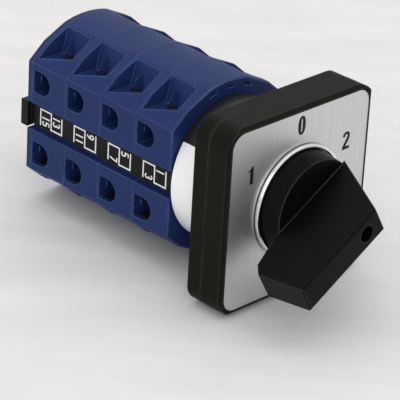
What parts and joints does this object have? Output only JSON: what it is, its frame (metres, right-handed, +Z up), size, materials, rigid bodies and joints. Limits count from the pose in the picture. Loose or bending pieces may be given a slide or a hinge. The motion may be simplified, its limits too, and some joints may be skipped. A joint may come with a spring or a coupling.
{
  "type": "rotary cam switch",
  "caption": "Panel-mounted rotary cam switch for reversing a motor: a handle on a square dial, a round latch and stacked contact sections with screw terminals.",
  "frame": {"origin": "on the spindle's axis, at the centre of the mounting plate's rear face", "axes": "+Y runs along the spindle from the knob to the end cover, +Z is up through the middle position on the dial and +X is to the right seen from the front"},
  "size_m": [0.048, 0.0994, 0.048],
  "materials": {
    "housing_blue": "moulded, slightly satin",
    "black_plastic": "moulded, satin",
    "knob_black": "moulded, smooth",
    "dial_silver": "brushed upright",
    "bright_chrome": "polished",
    "label_black": "smooth, printed white",
    "contact_brass": "pressed strip",
    "screw_nickel": "nickel plated",
    "clamp_steel": "zinc plated",
    "zinc_steel": "zinc plated",
    "spring_steel": "drawn wire",
    "white_nylon": "moulded",
    "red_nylon": "moulded"
  },
  "bodies": {
    "switch_body": {"rear_plate": "black_plastic", "front_frame": "black_plastic", "dial_plate": "dial_silver", "latch_housing": "black_plastic", "stop_plate": "white_nylon", "contact_section_1": "housing_blue", "contact_section_2": "housing_blue", "contact_section_3": "housing_blue", "contact_section_4": "housing_blue", "end_cover": "housing_blue", "tie_bolts": "zinc_steel", "plate_screws": "zinc_steel", "marking_strip_left": "label_black", "marking_strip_right": "label_black", "fixed_contacts_1": "contact_brass", "fixed_contacts_2": "contact_brass", "fixed_contacts_3": "contact_brass", "fixed_contacts_4": "contact_brass", "terminal_screws": "screw_nickel", "wire_clamps": "clamp_steel", "detent_spring_upper": "spring_steel", "detent_spring_lower": "spring_steel", "contact_spring_1_upper": "spring_steel", "contact_spring_1_lower": "spring_steel", "contact_spring_2_upper": "spring_steel", "contact_spring_2_lower": "spring_steel", "contact_spring_3_upper": "spring_steel", "contact_spring_3_lower": "spring_steel", "contact_spring_4_upper": "spring_steel", "contact_spring_4_lower": "spring_steel", "neck_label": "label_black"},
    "turning_parts": {"knob": "knob_black", "bright_ring": "bright_chrome", "knob_screw": "zinc_steel", "spindle": "zinc_steel", "star_wheel": "red_nylon", "stop_disc": "red_nylon", "cam_1": "red_nylon", "cam_2": "red_nylon", "cam_3": "red_nylon", "cam_4": "red_nylon"},
    "moving_contact_1_upper": {"plunger_1_upper": "white_nylon", "contact_bridge_1_upper": "contact_brass"},
    "moving_contact_1_lower": {"plunger_1_lower": "white_nylon", "contact_bridge_1_lower": "contact_brass"},
    "moving_contact_2_upper": {"plunger_2_upper": "white_nylon", "contact_bridge_2_upper": "contact_brass"},
    "moving_contact_2_lower": {"plunger_2_lower": "white_nylon", "contact_bridge_2_lower": "contact_brass"},
    "moving_contact_3_upper": {"plunger_3_upper": "white_nylon", "contact_bridge_3_upper": "contact_brass"},
    "moving_contact_3_lower": {"plunger_3_lower": "white_nylon", "contact_bridge_3_lower": "contact_brass"},
    "moving_contact_4_upper": {"plunger_4_upper": "white_nylon", "contact_bridge_4_upper": "contact_brass"},
    "moving_contact_4_lower": {"plunger_4_lower": "white_nylon", "contact_bridge_4_lower": "contact_brass"},
    "detent_upper": {"detent_plunger_upper": "red_nylon"},
    "detent_lower": {"detent_plunger_lower": "red_nylon"}
  },
  "joints": [
    {"name": "handle_turn", "type": "hinge", "parent": "switch_body", "child": "turning_parts", "pos_m": [0, 0, 0], "axis": [0, 1, 0], "range_deg": [-120, 0]},
    {"name": "contact_1_upper_lift", "type": "slide", "parent": "switch_body", "child": "moving_contact_1_upper", "axis": [0, 0, 1], "range_m": [-0.00181, 0], "deforming": ["contact_spring_1_upper"]},
    {"name": "contact_1_lower_lift", "type": "slide", "parent": "switch_body", "child": "moving_contact_1_lower", "axis": [0, 0, 1], "range_m": [-0.00181, 0], "deforming": ["contact_spring_1_lower"]},
    {"name": "contact_2_upper_lift", "type": "slide", "parent": "switch_body", "child": "moving_contact_2_upper", "axis": [0, 0, 1], "range_m": [-0.00181, 0], "deforming": ["contact_spring_2_upper"]},
    {"name": "contact_2_lower_lift", "type": "slide", "parent": "switch_body", "child": "moving_contact_2_lower", "axis": [0, 0, 1], "range_m": [-0.00181, 0], "deforming": ["contact_spring_2_lower"]},
    {"name": "contact_3_upper_lift", "type": "slide", "parent": "switch_body", "child": "moving_contact_3_upper", "axis": [0, 0, 1], "range_m": [-0.00181, 0], "deforming": ["contact_spring_3_upper"]},
    {"name": "contact_3_lower_lift", "type": "slide", "parent": "switch_body", "child": "moving_contact_3_lower", "axis": [0, 0, 1], "range_m": [-0.00181, 0], "deforming": ["contact_spring_3_lower"]},
    {"name": "contact_4_upper_lift", "type": "slide", "parent": "switch_body", "child": "moving_contact_4_upper", "axis": [0, 0, 1], "range_m": [-0.00181, 0], "deforming": ["contact_spring_4_upper"]},
    {"name": "contact_4_lower_lift", "type": "slide", "parent": "switch_body", "child": "moving_contact_4_lower", "axis": [0, 0, 1], "range_m": [-0.00181, 0], "deforming": ["contact_spring_4_lower"]},
    {"name": "detent_upper_press", "type": "slide", "parent": "switch_body", "child": "detent_upper", "axis": [0, 0, -1], "range_m": [0, 0.0014], "stiffness_N_per_m": 150, "springref_m": 0.0014, "deforming": ["detent_spring_upper"]},
    {"name": "detent_lower_press", "type": "slide", "parent": "switch_body", "child": "detent_lower", "axis": [0, 0, 1], "range_m": [0, 0.0014], "stiffness_N_per_m": 150, "springref_m": 0.0014, "deforming": ["detent_spring_lower"]}
  ],
  "couplings": [
    {"joint": "contact_1_upper_lift", "follows": "handle_turn", "m_per_rad": 0.00085944},
    {"joint": "contact_1_lower_lift", "follows": "handle_turn", "m_per_rad": 0.00085944},
    {"joint": "contact_2_upper_lift", "follows": "handle_turn", "m_per_rad": 0.00085944},
    {"joint": "contact_2_lower_lift", "follows": "handle_turn", "m_per_rad": 0.00085944},
    {"joint": "contact_3_upper_lift", "follows": "handle_turn", "m_per_rad": 0.00085944},
    {"joint": "contact_3_lower_lift", "follows": "handle_turn", "m_per_rad": 0.00085944},
    {"joint": "contact_4_upper_lift", "follows": "handle_turn", "m_per_rad": 0.00085944},
    {"joint": "contact_4_lower_lift", "follows": "handle_turn", "m_per_rad": 0.00085944}
  ]
}
